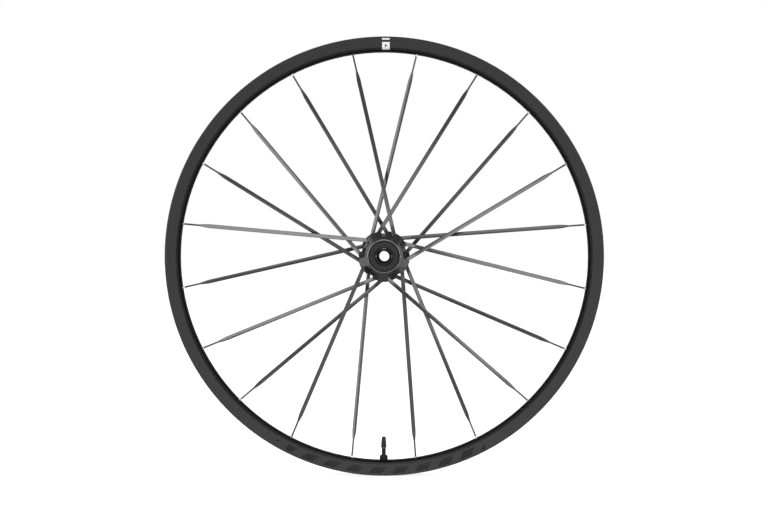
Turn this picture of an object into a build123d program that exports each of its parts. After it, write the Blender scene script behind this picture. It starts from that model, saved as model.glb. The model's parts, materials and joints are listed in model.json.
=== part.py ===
from build123d import *
import os
from collections import namedtuple
from math import acos, atan2, cos, degrees, radians, sin, sqrt, tan

# Front bicycle wheel for a disc brake, in millimetres.
# Y is the axle: the right side of the wheel is -Y and the left side, which carries the brake rotor, is +Y.
# Z is up, with the valve at the bottom. Angles run counter-clockwise from +X as seen from the right side.
RIGHT = -1
LEFT = 1

# Rim: a hollow section with plain lips and a drop centre
BEAD_SEAT_RADIUS = 311.0
LIP_HEIGHT = 5.5
LIP_THICKNESS = 3.0
LIP_ROUND = 1.1
TYRE_WIDTH = 30.0
RIM_DEPTH = 20.6
SIDE_LEAN = 2.2
SHOULDER_HEIGHT = 4.8
SHOULDER_REACH = 5.8
SHOULDER_ROUND = 6.0
SIDE_ROUND = 4.5
SHELF_WIDTH = 5.5
WELL_DEPTH = 3.0
WELL_SLOPE = 2.2
RIM_WALL = 1.3
BED_WALL = 2.8
DRAIN_DIAMETER = 2.6
DRAIN_HEIGHT = 10.5
DRAIN_ANGLE = 240.1

# Rim tape, a thin film from shelf to shelf
TAPE_THICKNESS = 0.4
TAPE_OVERLAP = 3.5
TAPE_GLUE = 0.05

# Spokes: five pairs a side, each pair crossing inside one lobe of its flange
SPOKE_PAIRS = 5
PAIR_SPAN = 6
HOLE_STAGGER = 2.0
OUTBOARD_TANGENT = 20.8
INBOARD_TANGENT = 24.4
LAYER_GAP = 5.2
OUTBOARD_SEAT = 6.0
INBOARD_SEAT = 3.0
HEAD_DIAMETER = 4.6
HEAD_LENGTH = 2.2
HEAD_ROUND = 0.8
NECK_DIAMETER = 3.2
NECK_STANDOFF = 0.3
NECK_TAPER = 4.0
BLADE_WIDTH = 5.3
BLADE_THICKNESS = 2.0
ROD_DIAMETER = 2.1
ROD_TAPER = 15.0
ROD_LENGTH = 26.5

# Nipples
NIPPLE_SEAT = 2.0
NIPPLE_DIAMETER = 4.0
NIPPLE_HEAD_DIAMETER = 5.8
NIPPLE_HEAD_HEIGHT = 2.6
NIPPLE_HEAD_CHAMFER = 0.7
NIPPLE_FLATS = 3.3
NIPPLE_TIP = 2.8
NIPPLE_SPARE = 0.6
ACCESS_DIAMETER = 7.2

# Hub shell: each flange has lobes for its outer spokes and ledges, turned back a little, for its inner ones
HUB_WIDTH = 110.0
FLANGE_INSET = 27.0
FLANGE_OUTER_SKIN = 2.4
FLANGE_INNER_SKIN = 2.3
FLANGE_LEAN = 8.0
FLANGE_CHAMFER = 0.8
LOBE_RADIUS = 36.9
LOBE_WIDTH = 14.2
LOBE_ROUND = 1.6
LOBE_HEIGHT = 8.6
VALLEY_ROUND = 2.8
LEDGE_STEP = 0.7
LEDGE_WIDTH = 22.0
LEDGE_HEIGHT = 3.4
LEDGE_TURN = 7.5
LEDGE_SKIN = 2.8
LEDGE_LEAN = 12.0
POCKET_LENGTH = 5.5
WAIST_RADIUS = 16.0
BARREL_RADIUS = 21.0
SHELL_BORE_RADIUS = 13.5
CAVITY_RADIUS = 17.0
CAVITY_START = 15.0
CAVITY_SHOULDER = 2.0
CUP_RADIUS = 24.0
CUP_ROUND = 1.2
CUP_LIP = 0.3
CUP_DEPTH = 2.5
ROTOR_INSET = 10.5
ROTOR_CIRCLE = 44.0
ROTOR_BOLTS = 6
ROTOR_HOLE_DIAMETER = 4.2
ROTOR_EAR_RADIUS = 5.2
ROTOR_WEB_RADIUS = 23.0
ROTOR_WEB_ROUND = 2.5
ROTOR_BOSS = 6.0
ROTOR_NECK_RADIUS = 19.2
PILOT_DIAMETER = 35.0
PILOT_HEIGHT = 2.5
PILOT_WALL = 1.3

# Axle, bearings, covers and end caps
THRU_BORE_DIAMETER = 15.1
AXLE_DIAMETER = 17.0
AXLE_COLLAR = 1.1
CAP_BASE = 5.0
BEARING_DIAMETER = 30.0
BEARING_WIDTH = 7.0
BEARING_INSET_RIGHT = 15.0
BEARING_INSET_LEFT = 10.0
RACE_THICKNESS = 2.05
BALL_DIAMETER = 3.97
BALL_COUNT = 10
CAGE_THICKNESS = 1.4
CAGE_WIDTH = 5.2
SEAL_THICKNESS = 0.5
SEAL_INSET = 0.12
SEAL_LEDGE = 0.65
COVER_DIAMETER_RIGHT = 40.0
COVER_THICKNESS = 1.5
COVER_GROOVE_WIDTH = 1.0
COVER_GROOVE_DEPTH = 0.5
SPIGOT_RADIUS = 11.0
RACE_LAND_RADIUS = 10.0
CAP_FOOT_DIAMETER = 26.8
CAP_FOOT_HEIGHT = 1.2
CAP_DIAMETER = 24.6
CAP_CHAMFER = 2.2

# Tubeless valve at the bottom of the rim
STEM_DIAMETER = 6.0
STEM_BORE_DIAMETER = 3.0
STEM_REACH = 18.5
STEM_FOOT_DIAMETER = 8.4
STEM_FOOT_THICKNESS = 1.2
BASE_HEIGHT = 2.6
BASE_DIAMETER = 12.8
BASE_TAPER = 1.4
VALVE_NUT_DIAMETER = 11.8
VALVE_NUT_HEIGHT = 6.9
VALVE_NUT_DOME = 2.6
VALVE_NUT_ROUND = 0.8
VALVE_NUT_FLUTES = 10
VALVE_NUT_FLUTE_DIAMETER = 2.4
VALVE_NUT_FLUTE_DEPTH = 0.6
O_RING_SECTION = 1.2
CORE_DIAMETER = 5.2
CORE_LENGTH = 7.0
CORE_PLUG_DIAMETER = 3.8
CORE_PLUG_LENGTH = 14.0
PIN_DIAMETER = 1.5
PIN_REACH = 5.4
PIN_HEAD_DIAMETER = 2.6
PIN_HEAD_LENGTH = 1.0
CORE_NUT_DIAMETER = 4.2
CORE_NUT_HEIGHT = 2.8
VALVE_CAP_LENGTH = 15.8
VALVE_CAP_DIAMETER = 7.8
VALVE_CAP_TIP_DIAMETER = 5.6
VALVE_CAP_SKIRT = 3.5
VALVE_CAP_ROUND = 2.4
VALVE_CAP_WALL = 1.2

# Clearances
PRESS_FIT = 0.01
SLIDE_FIT = 0.02
THREAD_FIT = 0.03
HOLE_CLEARANCE = 0.12
POCKET_CLEARANCE = 0.2
BALL_CLEARANCE = 0.06
CAGE_CLEARANCE = 0.13
SEAL_CLEARANCE = 0.2
COVER_GAP = 0.5
VALVE_HOLE_CLEARANCE = 0.3
CAP_THREAD_CLEARANCE = 0.08
CAP_END_GAP = 0.3

# Places that follow from the sizes above
LIP_RADIUS = BEAD_SEAT_RADIUS + LIP_HEIGHT
BED_RADIUS = LIP_RADIUS - RIM_DEPTH
WELL_RADIUS = BEAD_SEAT_RADIUS - WELL_DEPTH
RIM_HALF = TYRE_WIDTH / 2 + LIP_THICKNESS
SHOULDER_HALF = RIM_HALF - SIDE_LEAN
BED_HALF = SHOULDER_HALF - SHOULDER_REACH
SHELF_EDGE = TYRE_WIDTH / 2 - SHELF_WIDTH
CHAMBER_FLOOR_HALF = BED_HALF + SHOULDER_REACH * BED_WALL / SHOULDER_HEIGHT - 2 * RIM_WALL
SIDE_SHARE = (LIP_HEIGHT + RIM_WALL) / (RIM_DEPTH - SHOULDER_HEIGHT)
CHAMBER_ROOF_HALF = RIM_HALF - SIDE_LEAN * SIDE_SHARE - RIM_WALL
WELL_HALF = SHELF_EDGE - WELL_SLOPE
HOLE_PITCH = 360 / (4 * SPOKE_PAIRS)
HUB_HALF = HUB_WIDTH / 2
AXLE_END = HUB_HALF - CAP_BASE
BEARING_FACE_RIGHT = HUB_HALF - BEARING_INSET_RIGHT
BEARING_FACE_LEFT = HUB_HALF - BEARING_INSET_LEFT
ROTOR_FACE = HUB_HALF - ROTOR_INSET
PILOT_END = ROTOR_FACE + PILOT_HEIGHT
CUP_END = BEARING_FACE_RIGHT + CUP_DEPTH
FLANGE_MID = HUB_HALF - FLANGE_INSET
VALLEY_RADIUS = LOBE_RADIUS - LOBE_HEIGHT
POCKET_HALF = HEAD_DIAMETER / 2 + POCKET_CLEARANCE
FLANGE_OUTER = FLANGE_MID + LAYER_GAP / 2 + POCKET_HALF + FLANGE_OUTER_SKIN
FLANGE_INNER = FLANGE_MID - LAYER_GAP / 2 - POCKET_HALF - FLANGE_INNER_SKIN
FLANGE_REACH = LOBE_RADIUS + LOBE_HEIGHT
FLANGE_BEVEL = min(FLANGE_CHAMFER, (VALLEY_RADIUS - CUP_RADIUS) / 2)
FLANGE_DROP = (FLANGE_REACH - CUP_RADIUS) * tan(radians(FLANGE_LEAN))
LEDGE_RADIUS = LOBE_RADIUS - LEDGE_STEP
LEDGE_VALLEY = LEDGE_RADIUS - LEDGE_HEIGHT
LEDGE_OUTER = FLANGE_MID - LAYER_GAP / 2 + POCKET_HALF + LEDGE_SKIN
LEDGE_DROP = (FLANGE_REACH - CUP_RADIUS) * tan(radians(LEDGE_LEAN))
AXLE_RADIUS = AXLE_DIAMETER / 2
SEAT_RADIUS = BEARING_DIAMETER / 2 + PRESS_FIT
INNER_RACE_RADIUS = AXLE_RADIUS + RACE_THICKNESS
OUTER_RACE_RADIUS = BEARING_DIAMETER / 2 - RACE_THICKNESS
PITCH_RADIUS = (INNER_RACE_RADIUS + OUTER_RACE_RADIUS) / 2
GROOVE_RADIUS = BALL_DIAMETER / 2 + BALL_CLEARANCE
PILOT_BORE_RADIUS = PILOT_DIAMETER / 2 - PILOT_WALL

Course = namedtuple("Course", "plane length seat neck_end")


def polar(radius, angle, y=0.0):
    """Point at a radius and angle about the axle, a distance y along it."""
    return Vector(radius * cos(radians(angle)), y, radius * sin(radians(angle)))


def axle_distance(point):
    """Distance of a point from the axle's axis."""
    return sqrt(point.X**2 + point.Z**2)


def lean(tangent):
    """Angle at the axle between a spoke's hole in the rim and its foot, where it is nearest to the axle."""
    return degrees(acos(tangent / BED_RADIUS))


def outboard_course(rim_angle, side):
    """Course of a spoke in the outer layer, which leaves its flange counter-clockwise."""
    return course(rim_angle, rim_angle - lean(OUTBOARD_TANGENT), side, OUTBOARD_TANGENT, 1, OUTBOARD_SEAT)


def inboard_course(rim_angle, side):
    """Course of a spoke in the inner layer, which leaves its flange clockwise."""
    return course(rim_angle, rim_angle + lean(INBOARD_TANGENT), side, INBOARD_TANGENT, -1, INBOARD_SEAT)


def course(rim_angle, foot_angle, side, tangent, layer, seat):
    """Plane at a spoke's foot, Z along it and X away from the axle, with the lengths along it."""
    foot = polar(tangent, foot_angle, side * (FLANGE_MID + layer * LAYER_GAP / 2))
    at_rim = polar(BED_RADIUS, rim_angle, side * HOLE_STAGGER)
    plane = Plane(foot, x_dir=polar(1, foot_angle), z_dir=at_rim - foot)
    neck_end = sqrt(LOBE_RADIUS**2 - tangent**2) + NECK_STANDOFF
    return Course(plane, (at_rim - foot).length, seat, neck_end)


right_courses = []
left_courses = []
for pair in range(SPOKE_PAIRS):
    first_hole = HOLE_PITCH / 2 + 4 * pair * HOLE_PITCH
    left_courses.append(inboard_course(first_hole, LEFT))
    right_courses.append(outboard_course(first_hole + HOLE_PITCH, RIGHT))
    left_courses.append(outboard_course(first_hole + 2 * HOLE_PITCH, LEFT))
    right_courses.append(inboard_course(first_hole + 3 * HOLE_PITCH, RIGHT))
courses = right_courses + left_courses

# The lobes stand where the two spokes of a pair cross
FEET_ANGLE = lean(INBOARD_TANGENT) + lean(OUTBOARD_TANGENT) - PAIR_SPAN * HOLE_PITCH
FOOT_TO_LOBE = degrees(
    atan2(
        OUTBOARD_TANGENT - INBOARD_TANGENT * cos(radians(FEET_ANGLE)),
        INBOARD_TANGENT * sin(radians(FEET_ANGLE)),
    )
)
LEFT_LOBE_ANGLE = HOLE_PITCH / 2 + lean(INBOARD_TANGENT) - FOOT_TO_LOBE
RIGHT_LOBE_ANGLE = LEFT_LOBE_ANGLE + 3 * HOLE_PITCH

# Planes of the valve: its sketches use X across the stem and Y outward from the axle
VALVE_SECTION = Plane((0, 0, 0), x_dir=(1, 0, 0), z_dir=(0, 1, 0))
VALVE_HOLE_PLANE = Plane((0, 0, -LIP_RADIUS), x_dir=(1, 0, 0), z_dir=(0, 0, -1))

os.makedirs("parts", exist_ok=True)

# Rim
with BuildPart() as rim:
    with BuildSketch(Plane.XY) as rim_section:
        with BuildLine():
            Polyline(
                (BED_RADIUS, 0),
                (BED_RADIUS, BED_HALF),
                (BED_RADIUS + SHOULDER_HEIGHT, SHOULDER_HALF),
                (LIP_RADIUS, RIM_HALF),
                (LIP_RADIUS, TYRE_WIDTH / 2),
                (BEAD_SEAT_RADIUS, TYRE_WIDTH / 2),
                (BEAD_SEAT_RADIUS, SHELF_EDGE),
                (WELL_RADIUS, WELL_HALF),
                (WELL_RADIUS, 0),
            )
            mirror(about=Plane.XZ)
        make_face()
        corners = rim_section.vertices()
        lip_corners = corners.group_by(Axis.X)[-1]
        shoulder_corners = corners.filter_by(lambda v: abs(abs(v.Y) - BED_HALF) < 0.01 and v.X < WELL_RADIUS)
        side_corners = corners.filter_by(lambda v: abs(abs(v.Y) - SHOULDER_HALF) < 0.01)
        fillet(lip_corners, LIP_ROUND)
        fillet(shoulder_corners, SHOULDER_ROUND)
        fillet(side_corners, SIDE_ROUND)
        with BuildLine():
            Polyline(
                (BED_RADIUS + BED_WALL, 0),
                (BED_RADIUS + BED_WALL, CHAMBER_FLOOR_HALF),
                (BED_RADIUS + SHOULDER_HEIGHT + RIM_WALL / 2, SHOULDER_HALF - RIM_WALL),
                (BEAD_SEAT_RADIUS - RIM_WALL, CHAMBER_ROOF_HALF),
                (BEAD_SEAT_RADIUS - RIM_WALL, SHELF_EDGE + RIM_WALL / 2),
                (WELL_RADIUS - RIM_WALL, WELL_HALF + RIM_WALL / 2),
                (WELL_RADIUS - RIM_WALL, 0),
            )
            mirror(about=Plane.XZ)
        make_face(mode=Mode.SUBTRACT)
    revolve(axis=Axis.Y)
    with Locations(*[way.plane.offset(way.length + RIM_DEPTH) for way in courses]):
        CounterBoreHole(
            radius=NIPPLE_DIAMETER / 2 + HOLE_CLEARANCE,
            counter_bore_radius=ACCESS_DIAMETER / 2,
            counter_bore_depth=RIM_DEPTH - NIPPLE_SEAT,
            depth=RIM_DEPTH + BED_WALL,
        )
    with Locations(VALVE_HOLE_PLANE):
        Hole(radius=STEM_DIAMETER / 2 + VALVE_HOLE_CLEARANCE, depth=RIM_DEPTH + BED_WALL)
    with Locations(Plane(polar(BED_RADIUS + DRAIN_HEIGHT, DRAIN_ANGLE, -RIM_HALF), z_dir=(0, -1, 0))):
        Hole(radius=DRAIN_DIAMETER / 2, depth=SIDE_LEAN + 2 * RIM_WALL)
rim.part.label = "rim"
export_step(rim.part, "parts/rim.step")

# Rim tape
with BuildPart() as rim_tape:
    with BuildSketch(Plane.XY):
        with BuildLine():
            Polyline(
                (WELL_RADIUS + TAPE_GLUE, 0),
                (WELL_RADIUS + TAPE_GLUE, WELL_HALF),
                (BEAD_SEAT_RADIUS + TAPE_GLUE, SHELF_EDGE),
                (BEAD_SEAT_RADIUS + TAPE_GLUE, SHELF_EDGE + TAPE_OVERLAP),
                (BEAD_SEAT_RADIUS + TAPE_GLUE + TAPE_THICKNESS, SHELF_EDGE + TAPE_OVERLAP),
                (BEAD_SEAT_RADIUS + TAPE_GLUE + TAPE_THICKNESS, SHELF_EDGE),
                (WELL_RADIUS + TAPE_GLUE + TAPE_THICKNESS, WELL_HALF),
                (WELL_RADIUS + TAPE_GLUE + TAPE_THICKNESS, 0),
            )
            mirror(about=Plane.XZ)
        make_face()
    revolve(axis=Axis.Y)
    with Locations(VALVE_HOLE_PLANE):
        Hole(radius=STEM_DIAMETER / 2 + VALVE_HOLE_CLEARANCE, depth=RIM_DEPTH)
rim_tape.part.label = "rim_tape"
export_step(rim_tape.part, "parts/rim_tape.step")

# Spokes: a head, a round neck, a flat blade and a thin threaded rod
for side_name, side_courses in (("right", right_courses), ("left", left_courses)):
    for number, way in enumerate(side_courses, start=1):
        blade_start = way.neck_end + NECK_TAPER
        rod_start = way.length - ROD_LENGTH
        blade_end = rod_start - ROD_TAPER
        rod_end = way.length + NIPPLE_SEAT + NIPPLE_HEAD_HEIGHT - NIPPLE_SPARE
        with BuildPart() as spoke:
            for distance in (way.seat, way.neck_end):
                with BuildSketch(way.plane.offset(distance)):
                    Circle(NECK_DIAMETER / 2)
            for distance in (blade_start, blade_end):
                with BuildSketch(way.plane.offset(distance)):
                    Ellipse(BLADE_WIDTH / 2, BLADE_THICKNESS / 2)
            for distance in (rod_start, rod_end):
                with BuildSketch(way.plane.offset(distance)):
                    Circle(ROD_DIAMETER / 2)
            loft(ruled=True)
            with BuildSketch(way.plane.offset(way.seat)):
                Circle(HEAD_DIAMETER / 2)
            extrude(amount=-HEAD_LENGTH)
            fillet(spoke.edges().sort_by(Axis(way.plane.origin, way.plane.z_dir))[0], HEAD_ROUND)
        spoke.part.label = f"spoke_{side_name}_{number:02d}"
        export_step(spoke.part, f"parts/spoke_{side_name}_{number:02d}.step")

# Nipples: a head inside the rim, a round shank in its hole and a square tip for the spoke key
for side_name, side_courses in (("right", right_courses), ("left", left_courses)):
    seats = [way.plane.offset(way.length + NIPPLE_SEAT) for way in side_courses]
    with BuildPart() as nipples:
        with BuildSketch(*seats):
            Circle(NIPPLE_HEAD_DIAMETER / 2)
        extrude(amount=NIPPLE_HEAD_HEIGHT - NIPPLE_HEAD_CHAMFER)
        with BuildSketch(*[seat.offset(NIPPLE_HEAD_HEIGHT - NIPPLE_HEAD_CHAMFER) for seat in seats]):
            Circle(NIPPLE_HEAD_DIAMETER / 2)
        extrude(amount=NIPPLE_HEAD_CHAMFER, taper=45)
        with BuildSketch(*seats):
            Circle(NIPPLE_DIAMETER / 2)
        extrude(amount=-NIPPLE_SEAT)
        with BuildSketch(*[seat.offset(-NIPPLE_SEAT) for seat in seats]):
            Circle(NIPPLE_DIAMETER / 2)
            Rectangle(NIPPLE_FLATS, NIPPLE_FLATS, mode=Mode.INTERSECT)
        extrude(amount=-NIPPLE_TIP)
        with BuildSketch(*[seat.offset(-NIPPLE_SEAT - NIPPLE_TIP) for seat in seats]):
            Circle(ROD_DIAMETER / 2 + THREAD_FIT)
        extrude(amount=NIPPLE_SEAT + NIPPLE_TIP + NIPPLE_HEAD_HEIGHT, mode=Mode.SUBTRACT)
    nipples.part.label = f"nipples_{side_name}"
    export_step(nipples.part, f"parts/nipples_{side_name}.step")

# Hub shell
with BuildPart() as hub_shell:
    with BuildSketch(Plane.XY):
        with BuildLine():
            Line((0, -CUP_END), (CUP_RADIUS - CUP_ROUND, -CUP_END))
            CenterArc((CUP_RADIUS - CUP_ROUND, CUP_ROUND - CUP_END), CUP_ROUND, 270, 90)
            Polyline(
                (CUP_RADIUS, CUP_ROUND - CUP_END),
                (CUP_RADIUS, -FLANGE_INNER),
                (BARREL_RADIUS, -FLANGE_INNER),
            )
            ThreePointArc((BARREL_RADIUS, -FLANGE_INNER), (WAIST_RADIUS, 0), (BARREL_RADIUS, FLANGE_INNER))
            Polyline(
                (BARREL_RADIUS, FLANGE_INNER),
                (ROTOR_NECK_RADIUS, FLANGE_INNER),
                (ROTOR_NECK_RADIUS, ROTOR_FACE),
                (PILOT_DIAMETER / 2, ROTOR_FACE),
                (PILOT_DIAMETER / 2, PILOT_END),
                (0, PILOT_END),
                (0, -CUP_END),
            )
        make_face()
    revolve(axis=Axis.Y)
    for radius, width, valley, turn, face, drop in (
        (LEDGE_RADIUS, LEDGE_WIDTH, LEDGE_VALLEY, LEDGE_TURN, LEDGE_OUTER, LEDGE_DROP),
        (LOBE_RADIUS, LOBE_WIDTH, VALLEY_RADIUS, 0, FLANGE_OUTER, FLANGE_DROP),
    ):
        for side, lobe_angle in ((RIGHT, RIGHT_LOBE_ANGLE), (LEFT, LEFT_LOBE_ANGLE)):
            with BuildSketch(Plane.XZ.offset(-side * FLANGE_INNER)) as flange:
                with PolarLocations(radius / 2, SPOKE_PAIRS, start_angle=lobe_angle - turn):
                    Rectangle(radius, width)
                Circle(radius, mode=Mode.INTERSECT)
                Circle(valley)
                fillet(flange.vertices().group_by(lambda v: round(v.center().length, 2))[-1], LOBE_ROUND)
                roots = flange.vertices().filter_by(lambda v: abs(v.center().length - valley) < 0.01)
                fillet(roots, VALLEY_ROUND)
            extrude(amount=-side * (face - FLANGE_INNER))
        with BuildSketch(Plane.XY):
            with BuildLine():
                Polyline(
                    (CUP_RADIUS, face),
                    (FLANGE_REACH, face),
                    (FLANGE_REACH, face - drop),
                    (CUP_RADIUS, face),
                )
            make_face()
            mirror(about=Plane.XZ)
        revolve(axis=Axis.Y, mode=Mode.SUBTRACT)
    leaning_faces = hub_shell.faces().filter_by(GeomType.CONE).sort_by(SortBy.AREA)[-2:]
    outline = leaning_faces.edges().filter_by(lambda e: axle_distance(e @ 0.5) > CUP_RADIUS + FLANGE_BEVEL)
    chamfer(outline.filter_by(GeomType.LINE, reverse=True), FLANGE_BEVEL)
    with BuildSketch(Plane.XZ.offset(-ROTOR_FACE)) as rotor_mount:
        Circle(ROTOR_WEB_RADIUS)
        with PolarLocations(ROTOR_CIRCLE / 2, ROTOR_BOLTS):
            Circle(ROTOR_EAR_RADIUS)
        fillet(rotor_mount.vertices(), ROTOR_WEB_ROUND)
        with PolarLocations(ROTOR_CIRCLE / 2, ROTOR_BOLTS):
            Circle(ROTOR_HOLE_DIAMETER / 2, mode=Mode.SUBTRACT)
    extrude(amount=ROTOR_BOSS)
    with BuildSketch(Plane.XY):
        with BuildLine():
            Polyline(
                (0, -CUP_END - CUP_DEPTH),
                (CUP_RADIUS - CUP_ROUND - CUP_LIP, -CUP_END - CUP_DEPTH),
                (CUP_RADIUS - CUP_ROUND - CUP_LIP, -BEARING_FACE_RIGHT),
                (SEAT_RADIUS, -BEARING_FACE_RIGHT),
                (SEAT_RADIUS, BEARING_WIDTH - BEARING_FACE_RIGHT),
                (SHELL_BORE_RADIUS, BEARING_WIDTH - BEARING_FACE_RIGHT),
                (SHELL_BORE_RADIUS, CAVITY_SHOULDER + BEARING_WIDTH - BEARING_FACE_RIGHT),
                (CAVITY_RADIUS, CAVITY_SHOULDER + BEARING_WIDTH - BEARING_FACE_RIGHT),
                (CAVITY_RADIUS, -CAVITY_START),
                (SHELL_BORE_RADIUS, -CAVITY_START),
                (SHELL_BORE_RADIUS, CAVITY_START),
                (CAVITY_RADIUS, CAVITY_START),
                (CAVITY_RADIUS, BEARING_FACE_LEFT - BEARING_WIDTH - CAVITY_SHOULDER),
                (SHELL_BORE_RADIUS, BEARING_FACE_LEFT - BEARING_WIDTH - CAVITY_SHOULDER),
                (SHELL_BORE_RADIUS, BEARING_FACE_LEFT - BEARING_WIDTH),
                (SEAT_RADIUS, BEARING_FACE_LEFT - BEARING_WIDTH),
                (SEAT_RADIUS, BEARING_FACE_LEFT),
                (PILOT_BORE_RADIUS, BEARING_FACE_LEFT),
                (PILOT_BORE_RADIUS, PILOT_END + PILOT_HEIGHT),
                (0, PILOT_END + PILOT_HEIGHT),
                (0, -CUP_END - CUP_DEPTH),
            )
        make_face()
    revolve(axis=Axis.Y, mode=Mode.SUBTRACT)
    with BuildSketch(*[way.plane.offset(way.seat) for way in courses]):
        Circle(NECK_DIAMETER / 2 + HOLE_CLEARANCE)
    extrude(amount=LOBE_RADIUS, mode=Mode.SUBTRACT)
    with BuildSketch(*[way.plane.offset(way.seat) for way in courses]):
        with Locations((-POCKET_HALF, 0)):
            Rectangle(POCKET_HALF + LOBE_RADIUS / 2, 2 * POCKET_HALF, align=(Align.MIN, Align.CENTER))
    extrude(amount=-POCKET_LENGTH, mode=Mode.SUBTRACT)
hub_shell.part.label = "hub_shell"
export_step(hub_shell.part, "parts/hub_shell.step")

# Axle: a tube with a thicker middle that keeps the inner races apart
with BuildPart() as axle:
    with BuildSketch(Plane.XY):
        with BuildLine():
            Polyline(
                (THRU_BORE_DIAMETER / 2, -AXLE_END),
                (AXLE_RADIUS, -AXLE_END),
                (AXLE_RADIUS, BEARING_WIDTH - BEARING_FACE_RIGHT),
                (AXLE_RADIUS + AXLE_COLLAR, BEARING_WIDTH - BEARING_FACE_RIGHT),
                (AXLE_RADIUS + AXLE_COLLAR, BEARING_FACE_LEFT - BEARING_WIDTH),
                (AXLE_RADIUS, BEARING_FACE_LEFT - BEARING_WIDTH),
                (AXLE_RADIUS, AXLE_END),
                (THRU_BORE_DIAMETER / 2, AXLE_END),
                (THRU_BORE_DIAMETER / 2, -AXLE_END),
            )
        make_face()
    revolve(axis=Axis.Y)
axle.part.label = "axle"
export_step(axle.part, "parts/axle.step")

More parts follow.
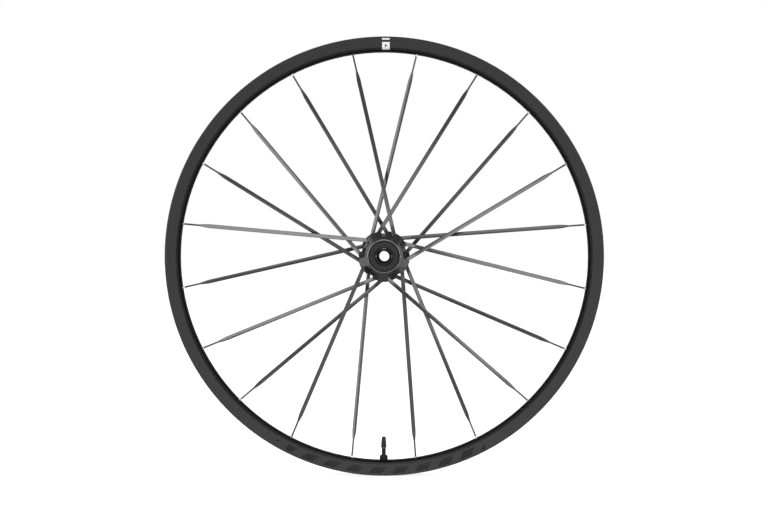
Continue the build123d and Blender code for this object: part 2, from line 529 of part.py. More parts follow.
# Each end of the hub: a sealed bearing, the cover over it and the cap that stands on the fork
for side_name, side, bearing_face, cover_radius in (
    ("right", RIGHT, BEARING_FACE_RIGHT, COVER_DIAMETER_RIGHT / 2),
    ("left", LEFT, BEARING_FACE_LEFT, PILOT_BORE_RADIUS - COVER_GAP),
):
    bearing_mid = bearing_face - BEARING_WIDTH / 2
    cover_start = bearing_face + COVER_GAP
    cover_end = cover_start + COVER_THICKNESS
    ball_plane = Plane.XZ.offset(-side * bearing_mid)
    ball_angles = [360 * ball / BALL_COUNT for ball in range(BALL_COUNT)]
    ball_places = [polar(PITCH_RADIUS, angle, side * bearing_mid) for angle in ball_angles]
    pocket_planes = [Plane(place, z_dir=polar(1, angle)) for place, angle in zip(ball_places, ball_angles)]
    seal_offset = (BEARING_WIDTH - SEAL_THICKNESS) / 2 - SEAL_INSET

    with BuildPart() as inner_race:
        with BuildSketch(Plane.XY):
            with Locations((AXLE_RADIUS + SLIDE_FIT, side * bearing_mid)):
                Rectangle(RACE_THICKNESS - SLIDE_FIT, BEARING_WIDTH, align=(Align.MIN, Align.CENTER))
            with Locations((PITCH_RADIUS, side * bearing_mid)):
                Circle(GROOVE_RADIUS, mode=Mode.SUBTRACT)
        revolve(axis=Axis.Y)
    inner_race.part.label = f"bearing_inner_race_{side_name}"
    export_step(inner_race.part, f"parts/bearing_inner_race_{side_name}.step")

    with BuildPart() as outer_race:
        with BuildSketch(Plane.XY):
            with Locations((OUTER_RACE_RADIUS, side * bearing_mid)):
                Rectangle(RACE_THICKNESS, BEARING_WIDTH, align=(Align.MIN, Align.CENTER))
                with Locations((0, seal_offset), (0, -seal_offset)):
                    Rectangle(2 * SEAL_LEDGE, BEARING_WIDTH - 2 * seal_offset, mode=Mode.SUBTRACT)
            with Locations((PITCH_RADIUS, side * bearing_mid)):
                Circle(GROOVE_RADIUS, mode=Mode.SUBTRACT)
        revolve(axis=Axis.Y)
    outer_race.part.label = f"bearing_outer_race_{side_name}"
    export_step(outer_race.part, f"parts/bearing_outer_race_{side_name}.step")

    with BuildPart() as seals:
        with BuildSketch(Plane.XY):
            with Locations((INNER_RACE_RADIUS + SEAL_CLEARANCE, side * bearing_mid)):
                with Locations((0, seal_offset), (0, -seal_offset)):
                    Rectangle(
                        OUTER_RACE_RADIUS + SEAL_LEDGE - SLIDE_FIT - INNER_RACE_RADIUS - SEAL_CLEARANCE,
                        SEAL_THICKNESS,
                        align=(Align.MIN, Align.CENTER),
                    )
        revolve(axis=Axis.Y)
    seals.part.label = f"bearing_seals_{side_name}"
    export_step(seals.part, f"parts/bearing_seals_{side_name}.step")

    with BuildPart() as balls:
        with Locations(ball_plane):
            with PolarLocations(PITCH_RADIUS, BALL_COUNT):
                Sphere(BALL_DIAMETER / 2)
    balls.part.label = f"bearing_balls_{side_name}"
    export_step(balls.part, f"parts/bearing_balls_{side_name}.step")

    with BuildPart() as cage:
        with BuildSketch(Plane.XY):
            with Locations((PITCH_RADIUS, side * bearing_mid)):
                Rectangle(CAGE_THICKNESS, CAGE_WIDTH)
        revolve(axis=Axis.Y)
        with BuildSketch(*pocket_planes):
            Circle(BALL_DIAMETER / 2 + CAGE_CLEARANCE)
        extrude(amount=CAGE_THICKNESS, both=True, mode=Mode.SUBTRACT)
    cage.part.label = f"bearing_cage_{side_name}"
    export_step(cage.part, f"parts/bearing_cage_{side_name}.step")

    with BuildPart() as cover:
        with BuildSketch(Plane.XY):
            with Locations((SPIGOT_RADIUS + SLIDE_FIT, side * (cover_start + cover_end) / 2)):
                Rectangle(
                    cover_radius - SPIGOT_RADIUS - SLIDE_FIT,
                    COVER_THICKNESS,
                    align=(Align.MIN, Align.CENTER),
                )
            with Locations(((CAP_FOOT_DIAMETER / 2 + cover_radius) / 2, side * cover_end)):
                Rectangle(COVER_GROOVE_WIDTH, 2 * COVER_GROOVE_DEPTH, mode=Mode.SUBTRACT)
        revolve(axis=Axis.Y)
    cover.part.label = f"dust_cover_{side_name}"
    export_step(cover.part, f"parts/dust_cover_{side_name}.step")

    with BuildPart() as end_cap:
        with BuildSketch(Plane.XY):
            with BuildLine():
                Polyline(
                    (AXLE_RADIUS + SLIDE_FIT, side * bearing_face),
                    (RACE_LAND_RADIUS, side * bearing_face),
                    (RACE_LAND_RADIUS, side * cover_start),
                    (SPIGOT_RADIUS, side * cover_start),
                    (SPIGOT_RADIUS, side * cover_end),
                    (CAP_FOOT_DIAMETER / 2, side * cover_end),
                    (CAP_FOOT_DIAMETER / 2, side * (cover_end + CAP_FOOT_HEIGHT)),
                    (CAP_DIAMETER / 2, side * (cover_end + CAP_FOOT_HEIGHT)),
                    (CAP_DIAMETER / 2, side * (HUB_HALF - CAP_CHAMFER)),
                    (CAP_DIAMETER / 2 - CAP_CHAMFER, side * HUB_HALF),
                    (THRU_BORE_DIAMETER / 2, side * HUB_HALF),
                    (THRU_BORE_DIAMETER / 2, side * AXLE_END),
                    (AXLE_RADIUS + SLIDE_FIT, side * AXLE_END),
                    (AXLE_RADIUS + SLIDE_FIT, side * bearing_face),
                )
            make_face()
        revolve(axis=Axis.Y)
    end_cap.part.label = f"end_cap_{side_name}"
    export_step(end_cap.part, f"parts/end_cap_{side_name}.step")

# Valve: places along the stem, as distances from the axle
BASE_SEAT = WELL_RADIUS + TAPE_GLUE + TAPE_THICKNESS
FOOT_SEAT = BASE_SEAT + BASE_HEIGHT
FOOT_END = FOOT_SEAT + STEM_FOOT_THICKNESS
STEM_TIP = BED_RADIUS - STEM_REACH
CORE_TIP = STEM_TIP - CORE_LENGTH
PLUG_END = STEM_TIP + CORE_PLUG_LENGTH
PIN_TIP = CORE_TIP - PIN_REACH
NUT_SEAT = BED_RADIUS - O_RING_SECTION
FLUTE_CIRCLE = (VALVE_NUT_DIAMETER + VALVE_NUT_FLUTE_DIAMETER) / 2 - VALVE_NUT_FLUTE_DEPTH
CAP_MOUTH = STEM_TIP - CAP_END_GAP
CAP_TIP = CAP_MOUTH - VALVE_CAP_LENGTH
STEM_RADIUS = STEM_DIAMETER / 2
PIN_RADIUS = PIN_DIAMETER / 2

with BuildPart() as valve_stem:
    with BuildSketch(VALVE_SECTION):
        with BuildLine():
            Polyline(
                (STEM_BORE_DIAMETER / 2, FOOT_END),
                (STEM_FOOT_DIAMETER / 2, FOOT_END),
                (STEM_FOOT_DIAMETER / 2, FOOT_SEAT),
                (STEM_RADIUS, FOOT_SEAT),
                (STEM_RADIUS, STEM_TIP),
                (CORE_PLUG_DIAMETER / 2 + THREAD_FIT, STEM_TIP),
                (CORE_PLUG_DIAMETER / 2 + THREAD_FIT, PLUG_END),
                (STEM_BORE_DIAMETER / 2, PLUG_END),
                (STEM_BORE_DIAMETER / 2, FOOT_END),
            )
        make_face()
    revolve(axis=Axis.Z)
valve_stem.part.label = "valve_stem"
export_step(valve_stem.part, "parts/valve_stem.step")

with BuildPart() as valve_base:
    with BuildSketch(VALVE_SECTION):
        with BuildLine():
            Polyline(
                (STEM_RADIUS + SLIDE_FIT, BASE_SEAT),
                (BASE_DIAMETER / 2 - BASE_TAPER, BASE_SEAT),
                (BASE_DIAMETER / 2, FOOT_SEAT),
                (STEM_RADIUS + SLIDE_FIT, FOOT_SEAT),
                (STEM_RADIUS + SLIDE_FIT, BASE_SEAT),
            )
        make_face()
    revolve(axis=Axis.Z)
valve_base.part.label = "valve_base"
export_step(valve_base.part, "parts/valve_base.step")

with BuildPart() as valve_o_ring:
    with BuildSketch(VALVE_SECTION):
        with Locations((STEM_RADIUS + SLIDE_FIT + O_RING_SECTION / 2, BED_RADIUS - O_RING_SECTION / 2)):
            Circle(O_RING_SECTION / 2 - SLIDE_FIT)
    revolve(axis=Axis.Z)
valve_o_ring.part.label = "valve_o_ring"
export_step(valve_o_ring.part, "parts/valve_o_ring.step")

with BuildPart() as valve_nut:
    with BuildSketch(VALVE_SECTION) as nut_section:
        with Locations((STEM_RADIUS + THREAD_FIT, NUT_SEAT)):
            Rectangle(
                VALVE_NUT_DIAMETER / 2 - STEM_RADIUS - THREAD_FIT,
                VALVE_NUT_HEIGHT,
                align=(Align.MIN, Align.MAX),
            )
        nut_corners = nut_section.vertices().group_by(Axis.X)[-1].sort_by(Axis.Y)
        fillet(nut_corners[0], VALVE_NUT_DOME)
        fillet(nut_corners[-1], VALVE_NUT_ROUND)
    revolve(axis=Axis.Z)
    with BuildSketch(Plane.XY.offset(-NUT_SEAT)):
        with PolarLocations(FLUTE_CIRCLE, VALVE_NUT_FLUTES):
            Circle(VALVE_NUT_FLUTE_DIAMETER / 2)
    extrude(amount=VALVE_NUT_HEIGHT, mode=Mode.SUBTRACT)
valve_nut.part.label = "valve_nut"
export_step(valve_nut.part, "parts/valve_nut.step")

with BuildPart() as valve_core:
    with BuildSketch(VALVE_SECTION):
        with BuildLine():
            Polyline(
                (PIN_RADIUS + SLIDE_FIT, CORE_TIP),
                (CORE_DIAMETER / 2, CORE_TIP),
                (CORE_DIAMETER / 2, STEM_TIP),
                (CORE_PLUG_DIAMETER / 2, STEM_TIP),
                (CORE_PLUG_DIAMETER / 2, PLUG_END),
                (PIN_RADIUS + SLIDE_FIT, PLUG_END),
                (PIN_RADIUS + SLIDE_FIT, CORE_TIP),
            )
        make_face()
    revolve(axis=Axis.Z)
valve_core.part.label = "valve_core"
export_step(valve_core.part, "parts/valve_core.step")

with BuildPart() as valve_pin:
    with BuildSketch(VALVE_SECTION):
        with BuildLine():
            Polyline(
                (0, PIN_TIP),
                (PIN_RADIUS, PIN_TIP),
                (PIN_RADIUS, PLUG_END),
                (PIN_HEAD_DIAMETER / 2, PLUG_END),
                (PIN_HEAD_DIAMETER / 2, PLUG_END + PIN_HEAD_LENGTH),
                (0, PLUG_END + PIN_HEAD_LENGTH),
                (0, PIN_TIP),
            )
        make_face()
    revolve(axis=Axis.Z)
valve_pin.part.label = "valve_pin"
export_step(valve_pin.part, "parts/valve_pin.step")

with BuildPart() as valve_core_nut:
    with BuildSketch(VALVE_SECTION):
        with Locations((PIN_RADIUS + THREAD_FIT, CORE_TIP)):
            Rectangle(
                CORE_NUT_DIAMETER / 2 - PIN_RADIUS - THREAD_FIT,
                CORE_NUT_HEIGHT,
                align=(Align.MIN, Align.MAX),
            )
    revolve(axis=Axis.Z)
valve_core_nut.part.label = "valve_core_nut"
export_step(valve_core_nut.part, "parts/valve_core_nut.step")

with BuildPart() as valve_cap:
    with BuildSketch(VALVE_SECTION) as cap_section:
        with BuildLine():
            Polyline(
                (0, CAP_TIP),
                (VALVE_CAP_TIP_DIAMETER / 2, CAP_TIP),
                (VALVE_CAP_DIAMETER / 2, CAP_MOUTH - VALVE_CAP_SKIRT),
                (VALVE_CAP_DIAMETER / 2, CAP_MOUTH),
                (CORE_DIAMETER / 2 + CAP_THREAD_CLEARANCE, CAP_MOUTH),
                (CORE_DIAMETER / 2 + CAP_THREAD_CLEARANCE, CORE_TIP - CORE_NUT_HEIGHT),
                (VALVE_CAP_TIP_DIAMETER / 2 - VALVE_CAP_WALL, CAP_TIP + VALVE_CAP_WALL),
                (0, CAP_TIP + VALVE_CAP_WALL),
                (0, CAP_TIP),
            )
        make_face()
        tip_corner = cap_section.vertices().group_by(Axis.Y)[0].sort_by(Axis.X)[-1]
        fillet(tip_corner, VALVE_CAP_ROUND)
    revolve(axis=Axis.Z)
valve_cap.part.label = "valve_cap"
export_step(valve_cap.part, "parts/valve_cap.step")
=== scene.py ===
import json
from math import acos, cos, degrees, radians, sin, tau

import bpy
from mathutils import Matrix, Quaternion, Vector


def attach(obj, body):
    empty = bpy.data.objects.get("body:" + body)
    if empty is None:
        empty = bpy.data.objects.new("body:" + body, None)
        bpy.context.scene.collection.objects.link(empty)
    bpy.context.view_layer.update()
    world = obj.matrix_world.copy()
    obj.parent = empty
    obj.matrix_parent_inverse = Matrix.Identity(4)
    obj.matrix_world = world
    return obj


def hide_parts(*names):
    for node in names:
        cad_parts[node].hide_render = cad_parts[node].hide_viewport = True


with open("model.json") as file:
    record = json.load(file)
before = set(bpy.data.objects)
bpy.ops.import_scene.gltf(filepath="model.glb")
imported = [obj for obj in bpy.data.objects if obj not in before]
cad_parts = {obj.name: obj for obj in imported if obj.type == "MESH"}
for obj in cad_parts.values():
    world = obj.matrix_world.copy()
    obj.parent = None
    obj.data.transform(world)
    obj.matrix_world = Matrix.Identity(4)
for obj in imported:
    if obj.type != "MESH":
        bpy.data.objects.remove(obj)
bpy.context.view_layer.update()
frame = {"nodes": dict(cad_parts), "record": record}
nodes = frame["nodes"]
MM = 0.001

# Sizes of the wheel that its finer pieces follow, in millimetres
BED_RADIUS = 295.9
LIP_RADIUS = 316.5
HOLE_PITCH = 18.0
HOLE_STAGGER = 2.0
FLANGE_MID = 28.0
LAYER_GAP = 5.2
BORE_RADIUS = 7.5
BORE_SKIN = (0.15, 0.3)
CUP_RADIUS = 24.0
CUP_ROUND = 1.2
CUP_SKIN = 0.1
CUP_END = 42.5

# Spokes, in millimetres: a little wider than the solids, because soft edges thin a dark line in the picture
OUTBOARD_TANGENT = 20.8
INBOARD_TANGENT = 24.4
OUTBOARD_SEAT = 6.0
INBOARD_SEAT = 3.0
HEAD_RADIUS = 2.3
HEAD_LENGTH = 2.2
HEAD_ROUND = 0.8
NECK_RADIUS = 1.6
NECK_TAPER = 1.5
BLADE_START = 24.0
BLADE_HALF_WIDTH = 2.9
BLADE_HALF_THICKNESS = 1.0
BLADE_SQUARENESS = 8.0
ROD_TAPER = 15.0
ROD_TAPER_BOW = 1.5
ROD_LENGTH = 25.5
ROD_RADIUS = 1.3
ROD_PAST_BED = 4.0
ROD_END_RADIUS = 1.05
ROUND = 2.0

# How finely the spokes are meshed
SPOKE_SIDES = 32
HEAD_TURNS = (0, 22.5, 45, 67.5, 90)
TAPER_STEPS = 14
BLADE_STEPS = 12
EASE_STRAIGHT = 0.45

# A few blades stand a little twisted in the flange, as in any laced wheel, in degrees
BLADE_TWIST = {"spoke_left_01": -1.7, "spoke_left_03": -4.8, "spoke_left_08": 4.8}


class Paint:
    """A node material around one Principled shader, with short ways to add and join nodes."""

    def __init__(self, name, roughness, **sockets):
        self.material = bpy.data.materials.new(name)
        self.material.use_nodes = True
        self.tree = self.material.node_tree
        self.shader = self.tree.nodes["Principled BSDF"]
        self.shader.inputs["Roughness"].default_value = roughness
        for socket, value in sockets.items():
            self.shader.inputs[socket.replace("_", " ")].default_value = value
        self.place = self.add("ShaderNodeTexCoord").outputs["Object"]

    def add(self, kind, **settings):
        node = self.tree.nodes.new(kind)
        for key, value in settings.items():
            setattr(node, key, value)
        return node

    def feed(self, socket, value):
        if isinstance(value, bpy.types.NodeSocket):
            self.tree.links.new(value, socket)
        else:
            socket.default_value = value

    def fed(self, socket):
        """What feeds a socket of the shader so far."""
        return self.shader.inputs[socket].links[0].from_socket

    def math(self, operation, first, second=0.0, third=0.0):
        node = self.add("ShaderNodeMath", operation=operation)
        for socket, value in zip(node.inputs, (first, second, third)):
            self.feed(socket, value)
        return node.outputs[0]

    def axes(self):
        node = self.add("ShaderNodeSeparateXYZ")
        self.feed(node.inputs[0], self.place)
        return node.outputs

    def polar(self):
        """Distance from the axle and angle about it, in metres and radians."""
        x, y, z = self.axes()
        radius = self.math("SQRT", self.math("ADD", self.math("MULTIPLY", x, x), self.math("MULTIPLY", z, z)))
        return radius, self.math("ARCTAN2", z, x), y

    def vector(self, x, y, z):
        node = self.add("ShaderNodeCombineXYZ")
        for socket, value in zip(node.inputs, (x, y, z)):
            self.feed(socket, value)
        return node.outputs[0]

    def noise(self, place, scale, detail=3.0, roughness=0.55):
        node = self.add("ShaderNodeTexNoise")
        self.feed(node.inputs["Vector"], place)
        node.inputs["Scale"].default_value = scale
        node.inputs["Detail"].default_value = detail
        node.inputs["Roughness"].default_value = roughness
        return node.outputs["Fac"]

    def spread(self, value, low, high, start=0.0, end=1.0, smooth=False):
        node = self.add("ShaderNodeMapRange", clamp=True)
        if smooth:
            node.interpolation_type = "SMOOTHSTEP"
        self.feed(node.inputs["Value"], value)
        for socket, limit in zip(("From Min", "From Max", "To Min", "To Max"), (start, end, low, high)):
            node.inputs[socket].default_value = limit
        return node.outputs["Result"]

    def window(self, value, low, high, soft):
        """1 between two limits and 0 outside them, with soft edges."""
        rise = self.spread(value, 0.0, 1.0, low - soft, low + soft)
        fall = self.spread(value, 1.0, 0.0, high - soft, high + soft)
        return self.math("MULTIPLY", rise, fall)

    def blend(self, factor, first, second):
        node = self.add("ShaderNodeMix", data_type="RGBA")
        self.feed(node.inputs["Factor"], factor)
        for socket, value in ((node.inputs[6], first), (node.inputs[7], second)):
            self.feed(socket, value)
        return node.outputs[2]

    def colour(self, value):
        self.feed(self.shader.inputs["Base Color"], value)

    def rough(self, value):
        self.feed(self.shader.inputs["Roughness"], value)

    def relief(self, height, strength, distance):
        node = self.add("ShaderNodeBump")
        node.inputs["Strength"].default_value = strength
        node.inputs["Distance"].default_value = distance
        self.feed(node.inputs["Height"], height)
        self.feed(self.shader.inputs["Normal"], node.outputs["Normal"])


def grey(level, warm=0.0):
    return (level * (1 + warm), level, level * (1 - warm), 1.0)


def speckled(name, level, roughness, scale, depth=0.00002, change=0.25, uneven=0.08, warm=-0.01, **sockets):
    """A fine-grained finish: its colour, gloss and surface vary a little with one noise."""
    paint = Paint(name, roughness, **sockets)
    grain = paint.noise(paint.place, scale)
    patches = paint.noise(paint.place, scale / 40)
    paint.colour(paint.blend(patches, grey(level * (1 - change), warm), grey(level * (1 + change), warm)))
    paint.rough(paint.spread(grain, roughness - uneven, roughness + uneven, 0.3, 0.7))
    paint.relief(grain, 0.25, depth)
    return paint


def turned(name, level, roughness, pitch, depth=0.00001, change=0.2, uneven=0.1, warm=-0.01, **sockets):
    """A turned finish: fine rings about the axle from the cutting tool."""
    paint = Paint(name, roughness, **sockets)
    radius, _, y = paint.polar()
    along = paint.math("ADD", radius, paint.math("MULTIPLY", y, 0.83))
    rings = paint.noise(paint.vector(along, 0.0, 0.0), 1 / pitch, 2.0)
    patches = paint.noise(paint.place, 60.0)
    paint.colour(paint.blend(patches, grey(level * (1 - change), warm), grey(level * (1 + change), warm)))
    paint.rough(paint.spread(rings, roughness - uneven, roughness + uneven, 0.3, 0.7))
    paint.relief(rings, 0.3, depth)
    return paint


# Painted shade on the wall of the bore, dark and dull, and the bare lip of the right cup, which is cut bright
BORE_SHADE_GREY = 0.002
LIP_GREY = 0.2
LIP_ROUGHNESS = 0.3
LIP_EDGE = 0.00005


def shaded_bore(paint):
    """The same finish, with painted shade on the wall of the axle's bore, left dark and dull."""
    radius = paint.polar()[0]
    # Painted shade: inside the bore the colour goes near black, the gloss dull and the metal off
    bore_shade = paint.spread(radius, 1.0, 0.0, *((BORE_RADIUS + skin) * MM for skin in BORE_SKIN))
    outside = paint.math("SUBTRACT", 1.0, bore_shade)
    metallic = paint.shader.inputs["Metallic"]
    paint.colour(paint.blend(bore_shade, paint.fed("Base Color"), grey(BORE_SHADE_GREY)))
    paint.rough(paint.math("MAXIMUM", paint.fed("Roughness"), bore_shade))
    paint.feed(metallic, paint.math("MULTIPLY", outside, metallic.default_value))
    return paint


def hub_finish():
    """Black anodised alloy, with the lip of the right cup cut bright."""
    paint = turned("hub_anodised", 0.005, 0.13, 0.0006, depth=0.000004, uneven=0.03, Specular_IOR_Level=0.45)
    radius, _, y = paint.polar()
    lip = paint.window(radius, (CUP_RADIUS - CUP_ROUND) * MM, (CUP_RADIUS + CUP_SKIN) * MM, LIP_EDGE)
    lip = paint.math("MULTIPLY", lip, paint.math("LESS_THAN", y, (CUP_ROUND - CUP_END) * MM))
    paint.colour(paint.blend(lip, paint.fed("Base Color"), grey(LIP_GREY)))
    paint.rough(paint.math("MAXIMUM", paint.fed("Roughness"), paint.math("MULTIPLY", lip, LIP_ROUGHNESS)))
    paint.feed(paint.shader.inputs["Metallic"], lip)
    return paint


# Composite of the rim, in metres: its fibres run round it, and its spoke bed carries painted shade, dark and
# dull
FIBRE_SCALE = 90.0
FIBRE_STRETCH = 14.0
FIBRE_GREYS = (0.009, 0.013)
GRAIN_SCALE = 2600.0
RIM_ROUGHNESS = (0.22, 0.3)
# Painted shade on the spoke bed: where it starts, its grey and its dull gloss
BED_SHADE_EDGE = (0.2960, 0.3012)
BED_SHADE_GREY = 0.006
BED_SHADE_ROUGHNESS = 0.95

# Plain printed marks on its right side, in metres: a white patch at the top and slanted bars at the bottom
PATCH_MIDDLE = 0.0018
PATCH_HALF_WIDTH = 0.0054
PATCH_BAR = (0.3117, 0.3140)
PATCH_BLOCK = (0.2980, 0.3084)
PATCH_GREY = 0.8
DOT_HEIGHT = 0.3034
DOT_RADIUS = 0.0018
DOT_SHADE = 0.1
BARS_FROM = radians(-117)
BARS_TO = radians(-62)
BARS_HEIGHT = (0.3035, 0.3130)
BAR_PITCH = 0.034
BAR_SHARE = 0.55
BAR_SLANT = 0.9
BAR_GREY = 0.005
BAR_GLOSS = 0.35
MARK_EDGE = 0.0002


def carbon_finish():
    """Satin composite: fibres round the rim, painted shade on the spoke bed, dark and dull, and plain printed
    marks on the right side.
    """
    paint = Paint("carbon_rim", 0.5, Specular_IOR_Level=0.4)
    radius, angle, y = paint.polar()
    x, _, up = paint.axes()
    arc = paint.math("MULTIPLY", angle, LIP_RADIUS * MM)
    across = (paint.math("MULTIPLY", way, FIBRE_STRETCH) for way in (radius, y))
    fibres = paint.noise(paint.vector(arc, *across), FIBRE_SCALE, 4.0)
    grain = paint.noise(paint.place, GRAIN_SCALE, 2.0)
    dark, light = (grey(level, -0.02) for level in FIBRE_GREYS)
    body = paint.blend(paint.spread(fibres, 0.0, 1.0, 0.3, 0.7), dark, light)
    right = paint.math("LESS_THAN", y, 0.0)

    slanted = paint.math("MULTIPLY_ADD", radius, BAR_SLANT, arc)
    stripe = paint.math("FRACT", paint.math("DIVIDE", slanted, BAR_PITCH))
    bars = paint.window(stripe, 0.0, BAR_SHARE, MARK_EDGE / BAR_PITCH)
    bars = paint.math("MULTIPLY", bars, paint.window(radius, *BARS_HEIGHT, MARK_EDGE))
    bars_span = paint.window(angle, BARS_FROM, BARS_TO, MARK_EDGE / (LIP_RADIUS * MM))
    bars = paint.math("MULTIPLY", paint.math("MULTIPLY", bars, bars_span), right)
    body = paint.blend(bars, body, grey(BAR_GREY, -0.02))

    # Painted shade: the spoke bed goes near black, dull and metallic so that it reflects little
    bed_shade = paint.spread(radius, 1.0, 0.0, *BED_SHADE_EDGE, smooth=True)
    body = paint.blend(bed_shade, body, grey(BED_SHADE_GREY))
    paint.feed(paint.shader.inputs["Metallic"], bed_shade)

    width = paint.window(x, PATCH_MIDDLE - PATCH_HALF_WIDTH, PATCH_MIDDLE + PATCH_HALF_WIDTH, MARK_EDGE)
    bar, block = (paint.window(up, *span, MARK_EDGE) for span in (PATCH_BAR, PATCH_BLOCK))
    patch = paint.math("MULTIPLY", paint.math("MULTIPLY", width, paint.math("MAXIMUM", bar, block)), right)
    aside, above = (paint.math("SUBTRACT", *pair) for pair in ((x, PATCH_MIDDLE), (up, DOT_HEIGHT)))
    squares = (paint.math("MULTIPLY", way, way) for way in (aside, above))
    from_dot = paint.math("SQRT", paint.math("ADD", *squares))
    outside_dot = paint.spread(from_dot, DOT_SHADE, 1.0, DOT_RADIUS - MARK_EDGE, DOT_RADIUS + MARK_EDGE)
    patch = paint.math("MULTIPLY", patch, outside_dot)
    paint.colour(paint.blend(patch, body, grey(PATCH_GREY)))

    satin = paint.spread(grain, *RIM_ROUGHNESS, 0.3, 0.7)
    satin = paint.math("MULTIPLY", satin, paint.spread(bars, 1.0, BAR_GLOSS))
    paint.rough(paint.math("MAXIMUM", satin, paint.math("MULTIPLY", bed_shade, BED_SHADE_ROUGHNESS)))
    paint.relief(grain, 0.2, 0.00003)
    return paint


finishes = {
    "carbon_rim": carbon_finish(),
    "rim_tape": speckled("rim_tape", 0.02, 0.45, 900.0),
    "spoke_black": speckled(
        "spoke_black", 0.009, 0.13, 2600.0, depth=0.0000003, uneven=0.03, Specular_IOR_Level=1.0
    ),
    "nipple_silver": speckled("nipple_silver", 0.72, 0.28, 1500.0, change=0.06, Metallic=1.0),
    "hub_anodised": hub_finish(),
    "axle_alloy": shaded_bore(turned("axle_alloy", 0.5, 0.3, 0.0008, change=0.08, Metallic=1.0)),
    "bearing_steel": turned("bearing_steel", 0.55, 0.2, 0.0005, change=0.05, Metallic=1.0),
    "cage_plastic": speckled("cage_plastic", 0.6, 0.5, 1200.0, change=0.08, warm=0.06),
    "rubber_black": speckled("rubber_black", 0.015, 0.75, 1400.0),
    "cover_black": turned("cover_black", 0.02, 0.35, 0.0006, Specular_IOR_Level=0.25),
    "end_cap_black": shaded_bore(
        speckled("end_cap_black", 0.002, 0.06, 2600.0, depth=0.0000003, uneven=0.02, Specular_IOR_Level=0.22)
    ),
    "valve_black": speckled(
        "valve_black", 0.003, 0.16, 1500.0, depth=0.000002, uneven=0.04, Specular_IOR_Level=0.25
    ),
    "valve_metal": speckled("valve_metal", 0.62, 0.25, 1600.0, change=0.06, warm=0.08, Metallic=1.0),
    "valve_cap_black": speckled(
        "valve_cap_black", 0.005, 0.25, 1400.0, depth=0.000005, Specular_IOR_Level=0.3
    ),
}
slot_of = {row["node"]: row["material_slot"] for row in frame["record"]["subparts"]}


def dress(obj, slot):
    obj.data.materials.clear()
    obj.data.materials.append(finishes[slot].material)


for name, obj in nodes.items():
    dress(obj, slot_of[name])


def new_piece(name, points, faces, body, slot, *replaced):
    """A smooth mesh piece, in millimetres, that rides on a body and stands for CAD nodes."""
    mesh = bpy.data.meshes.new(name)
    mesh.from_pydata([Vector(p) * MM for p in points], [], faces)
    mesh.validate()
    mesh.update()
    for polygon in mesh.polygons:
        polygon.use_smooth = True
    mesh.set_sharp_from_angle(angle=radians(40))
    obj = bpy.data.objects.new(name, mesh)
    bpy.context.scene.collection.objects.link(obj)
    dress(obj, slot)
    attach(obj, body)
    if replaced:
        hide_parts(*replaced)
    return obj


def skin(rings):
    """Points and faces of a closed tube through equal rings, with a fan at each end."""
    count = len(rings[0])
    points = [p for ring in rings for p in ring]
    faces = []
    for level in range(len(rings) - 1):
        for side in range(count):
            after = (side + 1) % count
            low, high = level * count, (level + 1) * count
            faces.append((low + side, low + after, high + after, high + side))
    for ring, flip in ((0, True), (len(rings) - 1, False)):
        middle = len(points)
        points.append(sum(rings[ring], Vector()) / count)
        for side in range(count):
            a, b = ring * count + side, ring * count + (side + 1) % count
            faces.append((b, a, middle) if flip else (a, b, middle))
    return points, faces


def polar(radius, angle, y=0.0):
    return Vector((radius * cos(radians(angle)), y, radius * sin(radians(angle))))


def ease(share):
    share = min(max(share, 0.0), 1.0)
    return EASE_STRAIGHT * share + (1 - EASE_STRAIGHT) * share * share * (3 - 2 * share)


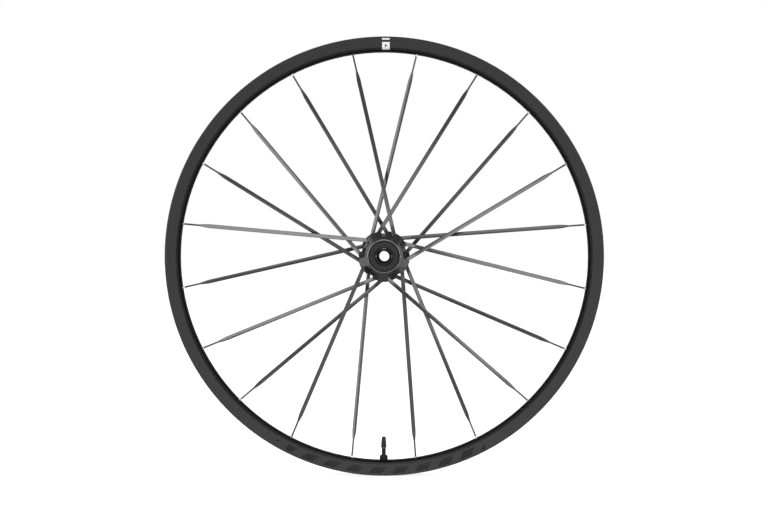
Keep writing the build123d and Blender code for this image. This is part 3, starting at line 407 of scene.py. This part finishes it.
def spoke(name, rim_angle, side, outboard):
    """A bladed spoke: head, round neck, flat blade that narrows to a thin rod."""
    tangent = OUTBOARD_TANGENT if outboard else INBOARD_TANGENT
    layer = 1 if outboard else -1
    seat = OUTBOARD_SEAT if outboard else INBOARD_SEAT
    foot_angle = rim_angle - layer * degrees(acos(tangent / BED_RADIUS))
    foot = polar(tangent, foot_angle, side * (FLANGE_MID + layer * LAYER_GAP / 2))
    at_rim = polar(BED_RADIUS, rim_angle, side * HOLE_STAGGER)
    length = (at_rim - foot).length
    along = (at_rim - foot).normalized()
    wide = polar(1, foot_angle)
    wide = (wide - along * wide.dot(along)).normalized()
    wide.rotate(Quaternion(along, radians(BLADE_TWIST.get(name, 0.0))))
    thick = along.cross(wide)
    neck_end = BLADE_START - NECK_TAPER
    rod_start = length - ROD_LENGTH
    blade_end = rod_start - ROD_TAPER

    stations = []
    for turn in HEAD_TURNS:
        start = seat - HEAD_LENGTH + HEAD_ROUND * (1 - cos(radians(turn)))
        radius = HEAD_RADIUS - HEAD_ROUND * (1 - sin(radians(turn)))
        stations.append((start, radius, radius, ROUND))
    stations.append((seat, HEAD_RADIUS, HEAD_RADIUS, ROUND))
    stations.append((seat, NECK_RADIUS, NECK_RADIUS, ROUND))
    stations.append((neck_end, NECK_RADIUS, NECK_RADIUS, ROUND))
    for step in range(1, TAPER_STEPS + 1):
        share = ease(step / TAPER_STEPS)
        stations.append(
            (
                neck_end + NECK_TAPER * step / TAPER_STEPS,
                NECK_RADIUS + (BLADE_HALF_WIDTH - NECK_RADIUS) * share,
                NECK_RADIUS + (BLADE_HALF_THICKNESS - NECK_RADIUS) * share,
                ROUND + (BLADE_SQUARENESS - ROUND) * share,
            )
        )
    for step in range(1, BLADE_STEPS + 1):
        place = BLADE_START + (blade_end - BLADE_START) * step / BLADE_STEPS
        stations.append((place, BLADE_HALF_WIDTH, BLADE_HALF_THICKNESS, BLADE_SQUARENESS))
    for step in range(1, TAPER_STEPS + 1):
        share = (step / TAPER_STEPS) ** ROD_TAPER_BOW
        stations.append(
            (
                blade_end + ROD_TAPER * step / TAPER_STEPS,
                BLADE_HALF_WIDTH + (ROD_RADIUS - BLADE_HALF_WIDTH) * share,
                BLADE_HALF_THICKNESS + (ROD_RADIUS - BLADE_HALF_THICKNESS) * share,
                BLADE_SQUARENESS + (ROUND - BLADE_SQUARENESS) * share,
            )
        )
    stations.append((length, ROD_RADIUS, ROD_RADIUS, ROUND))
    stations.append((length + ROD_PAST_BED / 2, ROD_END_RADIUS, ROD_END_RADIUS, ROUND))
    stations.append((length + ROD_PAST_BED, ROD_END_RADIUS, ROD_END_RADIUS, ROUND))

    rings = []
    for place, half_width, half_thickness, squareness in stations:
        ring = []
        for step in range(SPOKE_SIDES):
            c, d = cos(tau * step / SPOKE_SIDES), sin(tau * step / SPOKE_SIDES)
            out_wide = half_width * abs(c) ** (2 / squareness) * (1 if c >= 0 else -1)
            out_thick = half_thickness * abs(d) ** (2 / squareness) * (1 if d >= 0 else -1)
            ring.append(foot + along * place + wide * out_wide + thick * out_thick)
        rings.append(ring)
    points, faces = skin(rings)
    return new_piece(f"{name}_blade", points, faces, "wheel", "spoke_black", name)


for pair in range(5):
    first = HOLE_PITCH / 2 + 4 * pair * HOLE_PITCH
    spoke(f"spoke_left_{2 * pair + 1:02d}", first, 1, False)
    spoke(f"spoke_right_{2 * pair + 1:02d}", first + HOLE_PITCH, -1, True)
    spoke(f"spoke_left_{2 * pair + 2:02d}", first + 2 * HOLE_PITCH, 1, True)
    spoke(f"spoke_right_{2 * pair + 2:02d}", first + 3 * HOLE_PITCH, -1, False)

# Stage, in metres and degrees: a pale floor under the wheel, a white backdrop, a dim room and soft boxes
CAMERA_DISTANCE = 2.69
CAMERA_AZIMUTH = 0.41
CAMERA_ELEVATION = 0.27
CAMERA_ROLL = 0.135
CAMERA_AIM = (-0.00033, 0.0, 0.00025)
CAMERA_LENS = 87.0
CAMERA_CLIP = 0.05
FLOOR_GAP = 0.0005
FLOOR_FRONT = 0.7
FLOOR_REACH = 30.0
FLOOR_GREY = 0.7
ROOM_LIGHT = 0.5
ROOM_SHEEN = (0.2, 1.4)
FLOOR_LIFT = 0.8
BACKDROP_EDGE = (0.85, 0.95)

scene = bpy.context.scene
scene.view_settings.view_transform = "Standard"


def aimed(obj, place, target):
    obj.location = place
    obj.rotation_mode = "QUATERNION"
    obj.rotation_quaternion = (Vector(target) - Vector(place)).to_track_quat("-Z", "Y")


def around(azimuth, elevation, distance):
    a, e = radians(azimuth), radians(elevation)
    return Vector((sin(a) * cos(e), -cos(a) * cos(e), sin(e))) * distance


camera_data = bpy.data.cameras.new("camera")
camera_data.lens = CAMERA_LENS
camera_data.clip_start = CAMERA_CLIP
camera = bpy.data.objects.new("camera", camera_data)
scene.collection.objects.link(camera)
aimed(camera, around(CAMERA_AZIMUTH, CAMERA_ELEVATION, CAMERA_DISTANCE), CAMERA_AIM)
camera.rotation_quaternion @= Quaternion((0, 0, 1), radians(CAMERA_ROLL))
scene.camera = camera


class Nodes:
    """Short ways to add and join the nodes of a floor or world."""

    def __init__(self, owner):
        owner.use_nodes = True
        self.tree = owner.node_tree
        self.tree.nodes.clear()

    def add(self, kind, *links, **settings):
        node = self.tree.nodes.new(kind)
        for key, value in settings.items():
            setattr(node, key, value)
        for index, source in enumerate(links):
            if isinstance(source, bpy.types.NodeSocket):
                self.tree.links.new(source, node.inputs[index])
            elif source is not None:
                node.inputs[index].default_value = source
        return node.outputs

    def rays(self):
        """1 for the rays of the camera, and 1 for those that gloss and glass send out."""
        path = self.add("ShaderNodeLightPath")
        gloss, glass = path["Is Glossy Ray"], path["Is Transmission Ray"]
        return path["Is Camera Ray"], self.add("ShaderNodeMath", gloss, glass, operation="MAXIMUM")[0]


floor_mesh = bpy.data.meshes.new("floor")
front_corners = [(-FLOOR_REACH, -FLOOR_FRONT, 0), (FLOOR_REACH, -FLOOR_FRONT, 0)]
back_corners = [(FLOOR_REACH, FLOOR_REACH, 0), (-FLOOR_REACH, FLOOR_REACH, 0)]
floor_mesh.from_pydata(front_corners + back_corners, [], [(0, 1, 2, 3)])
floor = bpy.data.objects.new("floor", floor_mesh)
floor.location.z = -LIP_RADIUS * MM - FLOOR_GAP
scene.collection.objects.link(floor)
floor_paint = bpy.data.materials.new("floor_white")
floor.data.materials.append(floor_paint)
kit = Nodes(floor_paint)
seen, mirrored = kit.rays()
matt = kit.add("ShaderNodeBsdfDiffuse", grey(FLOOR_GREY))
white = kit.add("ShaderNodeEmission", (1, 1, 1, 1), 1.0)
lift = kit.add("ShaderNodeEmission", (1, 1, 1, 1), FLOOR_LIFT)
pale = kit.add("ShaderNodeAddShader", matt[0], lift[0])
plain = kit.add("ShaderNodeMixShader", mirrored, matt[0], white[0])
shown = kit.add("ShaderNodeMixShader", seen, plain[0], pale[0])
kit.add("ShaderNodeOutputMaterial", shown[0])

world = bpy.data.worlds.new("studio")
scene.world = world
kit = Nodes(world)
seen, mirrored = kit.rays()
direction = kit.add("ShaderNodeSeparateXYZ", kit.add("ShaderNodeTexCoord")["Generated"])
behind = kit.add("ShaderNodeMapRange", direction["Y"], *BACKDROP_EDGE, 0.0, 1.0)
shining = kit.add("ShaderNodeMath", mirrored, behind["Result"], operation="MULTIPLY")
bright = kit.add("ShaderNodeMath", seen, shining[0], operation="MAXIMUM")
sheen = kit.add("ShaderNodeMapRange", direction["Z"], 0.0, 1.0, *ROOM_SHEEN)
level = kit.add("ShaderNodeMapRange", mirrored, 0.0, 1.0, ROOM_LIGHT, sheen["Result"])
room = kit.add("ShaderNodeBackground", (1, 1, 1, 1), level["Result"])
backdrop = kit.add("ShaderNodeBackground", (1, 1, 1, 1), 1.0)
shown = kit.add("ShaderNodeMixShader", bright[0], room[0], backdrop[0])
kit.add("ShaderNodeOutputWorld", shown[0])


def soft_box(name, azimuth, elevation, distance, width, height, power):
    data = bpy.data.lights.new(name, "AREA")
    data.shape = "RECTANGLE"
    data.size = width
    data.size_y = height
    data.energy = power
    obj = bpy.data.objects.new(name, data)
    scene.collection.objects.link(obj)
    aimed(obj, around(azimuth, elevation, distance), (0, 0, 0))


# Azimuth and elevation, distance, width and height, and power in watts
soft_boxes = {
    "soft_box_left": (-17.2, 2.4, 2.7, 0.6, 1.16, 7.6),
    "soft_box_right": (17.0, -2.8, 2.7, 0.46, 1.36, 6.0),
    "soft_box_above": (0.2, 8.5, 2.6, 0.7, 0.52, 2.4),
    "soft_box_below": (0.2, -4.6, 2.6, 0.5, 0.26, 0.5),
    "soft_box_low": (-2.0, -15.4, 2.7, 0.9, 0.4, 1.15),
    "soft_box_top": (0, 80, 2.6, 1.2, 1.4, 20.0),
    "wall_left": (-90, 0, 2.6, 0.9, 0.9, 10.0),
    "wall_right": (90, 0, 2.6, 0.9, 0.9, 10.0),
    "panel_left": (-46, 12, 2.6, 1.1, 1.3, 16.0),
    "panel_right": (46, 12, 2.6, 1.1, 1.3, 16.0),
}
for box_name, values in soft_boxes.items():
    soft_box(box_name, *values)
